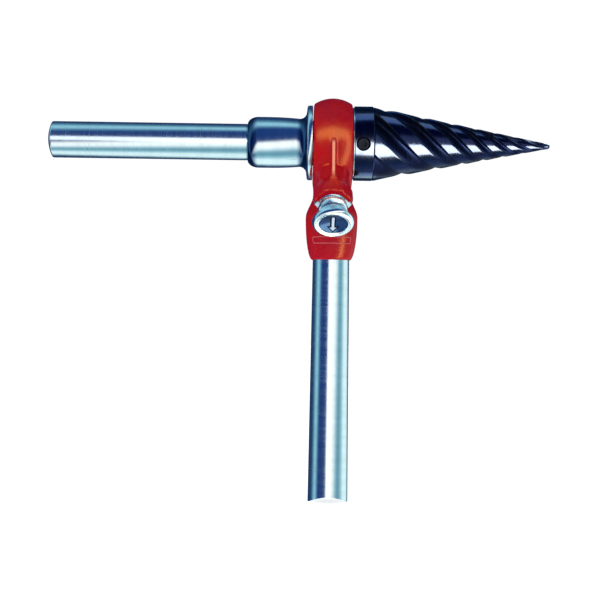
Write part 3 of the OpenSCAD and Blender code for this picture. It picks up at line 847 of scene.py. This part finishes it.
def build_bonnet():
    """Flange with an ear at each side, and a slightly barrelled collar under the knob."""
    flange_start, flange_end, top_s = 55.6, 59.3, 65.4
    flange_r = 11.2
    ear_flat = 11.5
    ear_half = 3.2
    widest, bulge = 10.6, 0.6

    def ears(angle, radius, height):
        on_rim = radius >= flange_r - 0.5 and height <= flange_end + 0.01
        off_middle = min(abs(math.asin(math.sin(angle))), math.pi / 6)
        corner_r = ear_flat / math.cos(math.pi / 6 - off_middle)
        if not on_rim or abs(corner_r * math.sin(angle)) >= ear_half:
            return radius
        inset = flange_r - radius
        return corner_r - inset

    outline = [(46.9, 8.4), (46.9, 10.0), (47.4, 10.5), (flange_start, 10.5), (flange_start, 10.9),
               (flange_start + 0.3, flange_r), (flange_end - 0.4, flange_r), (flange_end, 10.8)]
    middle = (flange_end + top_s) / 2
    for i in range(13):
        t = i / 6.5 - 1
        outline.append((middle + (top_s - middle) * t, widest - bulge * t * t))
    outline += [(top_s, widest - 2.2 * bulge), (top_s, 4.5), (top_s - 0.4, 4.1), (58.0, 4.1), (58.0, 8.4)]
    bonnet = lathe("bonnet_eared", outline, ON_PAWL, 240, trim=ears, sharp_deg=28)
    return finish_piece(bonnet, BONNET_PLATE, "head", "zinc_plate", "pawl_bonnet")


KNOB_BASE = 66.4
KNOB_TOP = 78.0
KNOB_R = 15.0
KNOB_NECK_R = 10.3
DISH_R = 10.3
DISH_EDGE = KNOB_TOP - 0.6
DISH_FLOOR = KNOB_TOP - 3.2
DISH_RISE = 2.1
DISH_ROUND = 1.4


def dish_height(r):
    """Height of the dished face at a radius: a cone with a rounded middle."""
    share = (math.hypot(r, DISH_ROUND) - DISH_ROUND) / (math.hypot(DISH_R, DISH_ROUND) - DISH_ROUND)
    return DISH_FLOOR + DISH_RISE * share


def build_knob():
    """Knob with a knurled neck that flares out under a rolled rim, and a dished face."""
    teeth = 60
    knurl_end = KNOB_BASE + 4.4

    def knurl(angle, radius, height):
        band = ease(height, KNOB_BASE + 0.5, KNOB_BASE + 0.9) * (1 - ease(height, knurl_end - 0.5, knurl_end))
        return radius - 0.4 * band * (0.5 - 0.5 * math.cos(angle * teeth))

    roll = 2.6
    rim = KNOB_TOP - roll
    flare_end = rim - 0.8
    flare = 3.6
    outline = [(KNOB_BASE, 4.0), (KNOB_BASE, KNOB_NECK_R - 0.5), (KNOB_BASE + 0.5, KNOB_NECK_R)]
    for i in range(1, 9):
        outline.append((KNOB_BASE + 0.5 + i * 0.4, KNOB_NECK_R))
    for i in range(13):
        a = math.radians(7.5 * i)
        outline.append((flare_end - flare * (1 - math.sin(a)), KNOB_R - (KNOB_R - KNOB_NECK_R) * math.cos(a)))
    for i in range(13):
        a = math.radians(7.5 * i)
        outline.append((rim + roll * math.sin(a), KNOB_R - 0.02 - roll * (1 - math.cos(a))))
    outline += [(DISH_EDGE + 0.12, DISH_R + 0.5), (DISH_EDGE - 0.05, DISH_R + 0.05),
                (DISH_EDGE - 0.45, DISH_R - 0.2)]
    for i in range(13):
        r = (DISH_R - 0.5) * (1 - i / 12)
        outline.append((dish_height(r), r))
    stem_end = KNOB_TOP - 5.2
    outline += [(stem_end, 0), (stem_end, 4.0)]
    knob = lathe("knob_dished", outline, ON_PAWL, teeth * 6, trim=knurl, sharp_deg=40)
    finish_piece(knob, PLATED, "pawl_bolt", "zinc_plate", "pawl_knob")
    # painted dark reflection: the dished face gets the navy plating colour
    knob.data.materials.append(DISH_PAINTED_REFLECTION)
    for face in knob.data.polygons:
        from_head = face.center / MM - Vector((head_x, 0, 0))
        height = from_head.dot(PAWL_AXIS)
        radius = (from_head - PAWL_AXIS * height).length
        if height > DISH_FLOOR - 0.5 and radius < DISH_R - 0.3:
            face.material_index = 1
    return knob


def arrow_piece(name, shaft, barb, neck, tip, above, mat):
    """A raised arrow that follows the dished face, stands a little above it and points to -Y."""
    tail = 6.2
    outline = [(-shaft, tail), (shaft, tail), (shaft, neck), (barb, neck), (0, tip), (-barb, neck),
               (-shaft, neck)]
    shape = bmesh.new()
    face = shape.faces.new([shape.verts.new((x * MM, y * MM, 0)) for x, y in outline])
    bmesh.ops.triangulate(shape, faces=[face])
    for _ in range(3):
        bmesh.ops.subdivide_edges(shape, edges=shape.edges[:], cuts=1, use_grid_fill=True)
        bmesh.ops.triangulate(shape, faces=shape.faces[:])
    walls = bmesh.ops.extrude_face_region(shape, geom=shape.faces[:])
    raised = {v for v in walls["geom"] if isinstance(v, bmesh.types.BMVert)}
    for v in shape.verts:
        level = dish_height(math.hypot(v.co.x, v.co.y) / MM) + (above if v in raised else -0.3)
        v.co.z = level * MM
    bmesh.ops.recalc_face_normals(shape, faces=shape.faces)
    mesh = bpy.data.meshes.new(name)
    shape.to_mesh(mesh)
    shape.free()
    mesh.transform(ON_PAWL)
    smooth(mesh, 30)
    piece = bpy.data.objects.new(name, mesh)
    bpy.context.scene.collection.objects.link(piece)
    return finish_piece(piece, mat, "pawl_bolt", "zinc_plate")


# ------------------------------------------------------------------ pieces carried over from the frame

CARRIED = {
    "gear_circlip": BLACK,
    "handle_set_screw": BLACK,
    "bonnet_washer": PLATED,
    "pawl_washer": PLATED,
    "pawl_spring": SPRING,
    "pawl": GROUND,
    "knob_pin": GROUND,
    "spindle": GROUND,
    "ratchet_gear": GROUND,
    "gear_key": GROUND,
    "nut_washer": PLATED,
    "spindle_nut": PLATED,
    "rear_thrust_washer": BRONZE,
    "feed_bush": BRONZE,
}

build_head()
build_label_frame()
build_ratchet_handle()
build_feed_tube()
build_end_cap()
build_hub()
build_cone()
build_collar()
build_set_screws()
build_front_washer()
build_bonnet()
build_knob()
arrow_piece("arrow_border", shaft=2.1, barb=4.5, neck=-4.0, tip=-9.6, above=0.15, mat=PAINT_FILL)
arrow_piece("arrow_face", shaft=0.9, barb=2.4, neck=-5.1, tip=-8.0, above=0.35, mat=ARROW_PALE)
for name, mat in CARRIED.items():
    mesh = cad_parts[name].data
    mesh.materials.clear()
    mesh.materials.append(mat)


# ------------------------------------------------------------------ stage, light and camera

def build_floor():
    """A pale floor at the foot of the handle. Reflections show the studio, not the floor."""
    half = 3.0
    level = cad_box[0][2]
    corners = [(-half, -half, level), (half, -half, level), (half, half, level), (-half, half, level)]
    mesh = bpy.data.meshes.new("floor")
    mesh.from_pydata(corners, [], [(0, 1, 2, 3)])
    floor = bpy.data.objects.new("floor", mesh)
    bpy.context.scene.collection.objects.link(floor)
    pale = material("pale_floor", (0.9, 0.9, 0.9), 0.0, 0.9)
    shader = pale.node_tree.nodes["Principled BSDF"]
    shader.inputs["Emission Color"].default_value = (1, 1, 1, 1)
    shader.inputs["Emission Strength"].default_value = 0.75
    mesh.materials.append(pale)
    floor.visible_glossy = False
    floor.visible_shadow = False


# Bands of the studio seen in the metal, by angle in degrees: 0 faces the viewer, positive is to the
# right or below, and negative to the left or above
NAVY = (0.012, 0.05, 0.14)
DEEP_BLUE = (0.006, 0.045, 0.20)
SKY = (0.38, 0.74, 0.85)
WHITE = (1.4, 1.4, 1.3)
TEAL = (0.14, 0.38, 0.46)
PALE_CYAN = (1.0, 1.22, 1.18)
STUDIO_BANDS = (
    (-180, NAVY), (-118, NAVY), (-100, (0.10, 0.28, 0.40)), (-88, SKY), (-78, SKY),
    (-66, (0.07, 0.21, 0.38)), (-57, DEEP_BLUE), (-2, DEEP_BLUE), (8, WHITE), (26, WHITE),
    (38, (0.85, 1.05, 1.05)), (50, (0.24, 0.48, 0.56)), (64, TEAL), (80, (0.42, 0.72, 0.78)),
    (92, PALE_CYAN), (122, PALE_CYAN), (136, (0.2, 0.32, 0.38)), (148, NAVY), (180, NAVY),
)


def build_world():
    """Soft white light for matt surfaces and the background, and banded light for reflections."""
    world = bpy.data.worlds.new("studio")
    bpy.context.scene.world = world
    world.use_nodes = True
    tree = world.node_tree
    tree.nodes.clear()

    def add(kind, **settings):
        made = tree.nodes.new(kind)
        for key, value in settings.items():
            setattr(made, key, value)
        return made

    coordinates = add("ShaderNodeTexCoord")
    across = add("ShaderNodeVectorMath", operation="DOT_PRODUCT")
    across.inputs[1].default_value = (1, 0, -1)
    toward = add("ShaderNodeVectorMath", operation="DOT_PRODUCT")
    toward.inputs[1].default_value = (0, -1, 0)
    angle = add("ShaderNodeMath", operation="ARCTAN2")
    turn = add("ShaderNodeMath", operation="MULTIPLY_ADD")
    turn.inputs[1].default_value = 1 / (2 * math.pi)
    turn.inputs[2].default_value = 0.5
    ramp = add("ShaderNodeValToRGB")
    strip = ramp.color_ramp
    for index, (degrees, color) in enumerate(STUDIO_BANDS):
        place_at = degrees / 360 + 0.5
        stop = strip.elements[index] if index < 2 else strip.elements.new(place_at)
        stop.position = place_at
        stop.color = (*color, 1)
    reflected = add("ShaderNodeBackground")
    plain = add("ShaderNodeBackground")
    plain.inputs["Color"].default_value = (0.95, 0.97, 1.0, 1)
    plain.inputs["Strength"].default_value = 0.55
    backdrop = add("ShaderNodeBackground")
    backdrop.inputs["Strength"].default_value = 1.3
    path = add("ShaderNodeLightPath")
    glossy = add("ShaderNodeMixShader")
    seen = add("ShaderNodeMixShader")
    output = add("ShaderNodeOutputWorld")
    wires = (
        (coordinates.outputs["Generated"], across.inputs[0]),
        (coordinates.outputs["Generated"], toward.inputs[0]),
        (across.outputs["Value"], angle.inputs[0]),
        (toward.outputs["Value"], angle.inputs[1]),
        (angle.outputs["Value"], turn.inputs[0]),
        (turn.outputs["Value"], ramp.inputs["Fac"]),
        (ramp.outputs["Color"], reflected.inputs["Color"]),
        (path.outputs["Is Glossy Ray"], glossy.inputs["Fac"]),
        (plain.outputs["Background"], glossy.inputs[1]),
        (reflected.outputs["Background"], glossy.inputs[2]),
        (path.outputs["Is Camera Ray"], seen.inputs["Fac"]),
        (glossy.outputs["Shader"], seen.inputs[1]),
        (backdrop.outputs["Background"], seen.inputs[2]),
        (seen.outputs["Shader"], output.inputs["Surface"]),
    )
    for source, target in wires:
        tree.links.new(source, target)


def panel(name, centre_mm, azimuth, elevation, spread, radiance, color, receivers=None, distance=1.5):
    """A rectangular light that fills a patch of the studio, as seen from a point on the tool.

    azimuth, elevation and the spread's width and height are in degrees. Where receivers are given,
    it is seen in their gloss alone."""
    az, el = math.radians(azimuth), math.radians(elevation)
    centre = Vector(centre_mm) * MM
    toward = Vector((math.sin(az) * math.cos(el), -math.cos(az) * math.cos(el), math.sin(el)))
    light = bpy.data.lights.new(name, "AREA")
    light.shape = "RECTANGLE"
    light.size, light.size_y = [2 * distance * math.tan(math.radians(angle / 2)) for angle in spread]
    light.energy = radiance * math.pi * light.size * light.size_y
    light.color = color
    lamp = bpy.data.objects.new(name, light)
    lamp.location = centre + toward * distance
    lamp.rotation_euler = (-toward).to_track_quat("-Z", "Y").to_euler()
    bpy.context.scene.collection.objects.link(lamp)
    if receivers:
        lamp.visible_diffuse = False
        group = bpy.data.collections.new(name + "_receivers")
        for piece in receivers:
            group.objects.link(bpy.data.objects[piece])
        lamp.light_linking.receiver_collection = group
    else:
        lamp.visible_glossy = False
    return lamp


def build_lights():
    warm = (1.0, 0.68, 0.16)
    ring = (head_x, -30, 0)
    panel("key", (0, 0, 0), -20, 45, (50, 50), 0.8, (1.0, 0.96, 0.92))
    panel("head_bar", ring, 0, 20, (112, 26), 30, warm, ["head_casting"])
    panel("head_side", (head_x, -30, -20), 54, -28, (15, 70), 34, (1.0, 0.66, 0.2), ["head_casting"])
    blued = ["spiral_cone", "collar_ring"]
    panel("cone_band", (60, 0, 0), 17, -23, (60, 40), 85, (1.0, 0.74, 0.26), blued, 2.0)
    panel("cone_sky", (60, 0, 0), 17, 84, (50, 26), 3.6, (0.75, 1.0, 0.8), blued, 2.0)
    panel("cone_floor", (60, 0, 0), 17, -122, (50, 30), 4, (0.75, 1.0, 0.8), blued, 2.0)
    panel("dish_glow", (head_x, -45, -64), 60, -68, (42, 42), 9, (0.92, 0.66, 0.3), ["knob_dished"])
    panel("bonnet_sky", (head_x, -40, -50), 90, 66, (110, 76), 1.15, (0.92, 1.0, 1.0), ["bonnet_eared"])
    panel("tube_band", (-170, 0, 0), 0, 2, (120, 24), 1.4, (1.0, 1.0, 0.95),
          ["feed_tube_turned", "feed_cap_turned"])
    panel("handle_band", (head_x, 0, -180), -3, 0, (24, 100), 1.4, (1.0, 1.0, 0.95), ["handle_tube"])


def build_camera():
    distance = 0.86
    width = 0.447        # what the picture spans at the reaming axis
    roll = math.radians(0.85)
    data = bpy.data.cameras.new("camera")
    data.sensor_width = 36
    data.lens = 36 * distance / width
    camera = bpy.data.objects.new("camera", data)
    camera.location = (-0.0523, -distance, -0.1170)
    camera.rotation_euler = (math.radians(90), roll, 0)
    camera.rotation_mode = "XYZ"
    look = Matrix.Rotation(math.radians(90), 4, "X") @ Matrix.Rotation(roll, 4, "Z")
    camera.matrix_world = Matrix.Translation(camera.location) @ look
    bpy.context.scene.collection.objects.link(camera)
    bpy.context.scene.camera = camera


build_floor()
build_world()
build_lights()
build_camera()
bpy.context.scene.view_settings.view_transform = "Standard"
